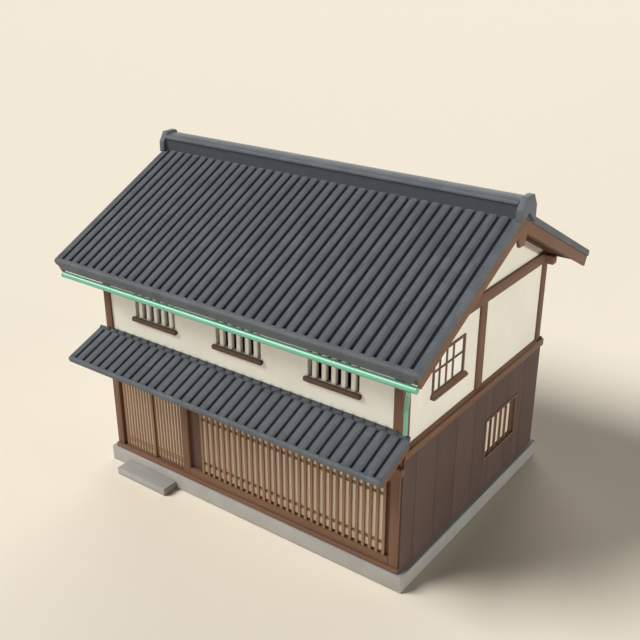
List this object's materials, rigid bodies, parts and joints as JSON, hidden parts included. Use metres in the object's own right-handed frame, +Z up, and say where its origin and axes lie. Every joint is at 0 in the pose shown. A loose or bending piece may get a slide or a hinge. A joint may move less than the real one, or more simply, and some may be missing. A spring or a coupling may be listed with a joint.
{
  "type": "machiya townhouse",
  "caption": "Two-storey timber townhouse with a tiled gable roof, a tiled pent roof, a slatted street front and sliding lattice doors.",
  "frame": {"origin": "on the ground under the middle of the stone plinth", "axes": "+X to the right along the street front as seen from the street, +Y from the street into the house, +Z up"},
  "size_m": [9.15, 7.6308, 7.235],
  "materials": {
    "stone": "dressed granite blocks, matt",
    "roof_tile": "smoked grey fired clay tile, satin",
    "plaster": "cream lime plaster, matt, trowelled",
    "frame_timber": "stained brown cedar, open grain",
    "lattice_timber": "stained brown slats, fine grain",
    "board_siding": "dark weathered boards",
    "paper": "warm translucent paper",
    "green_copper": "patinated copper green"
  },
  "bodies": {
    "house": {"back_frame": "frame_timber", "bargeboard_left": "frame_timber", "bargeboard_right": "frame_timber", "belt_back": "frame_timber", "belt_left": "frame_timber", "belt_right": "frame_timber", "corner_post_back_left": "frame_timber", "corner_post_back_right": "frame_timber", "corner_post_front_left": "frame_timber", "corner_post_front_right": "frame_timber", "door_lintel": "frame_timber", "door_post": "frame_timber", "downpipe": "green_copper", "eave_girder_back": "frame_timber", "eave_girder_front": "frame_timber", "front_girder": "frame_timber", "front_lattice": "lattice_timber", "front_screen": "paper", "front_sill": "frame_timber", "front_window_sill_left": "frame_timber", "front_window_sill_middle": "frame_timber", "front_window_sill_right": "frame_timber", "gable_wall_left": "plaster", "gable_wall_right": "plaster", "ground_floor": "frame_timber", "gutter": "green_copper", "lower_roof_deck": "frame_timber", "lower_roof_tiles": "roof_tile", "lower_window_left": "frame_timber", "lower_window_right": "frame_timber", "middle_post_left": "frame_timber", "middle_post_right": "frame_timber", "plinth": "stone", "ridge": "roof_tile", "ridge_end_left": "roof_tile", "ridge_end_right": "roof_tile", "roof_deck_back": "frame_timber", "roof_deck_front": "frame_timber", "roof_tiles_back": "roof_tile", "roof_tiles_front": "roof_tile", "side_board_left": "board_siding", "side_board_right": "board_siding", "siding_wall_back": "board_siding", "siding_wall_left": "board_siding", "siding_wall_right": "board_siding", "step_stone": "stone", "threshold": "frame_timber", "tie_beam_left": "frame_timber", "tie_beam_right": "frame_timber", "upper_floor": "frame_timber", "upper_wall_back": "plaster", "upper_wall_front": "plaster", "upper_window_left": "frame_timber", "upper_window_right": "frame_timber", "upper_window_sill_left": "frame_timber", "upper_window_sill_right": "frame_timber"},
    "left_leaf": {"door_leaf_left": "lattice_timber"},
    "right_leaf": {"door_leaf_right": "lattice_timber"}
  },
  "joints": [
    {"name": "left_leaf_slide", "type": "slide", "parent": "house", "child": "left_leaf", "axis": [1, 0, 0], "range_m": [0, 0.84]},
    {"name": "right_leaf_slide", "type": "slide", "parent": "house", "child": "right_leaf", "axis": [-1, 0, 0], "range_m": [0, 0.84]}
  ]
}
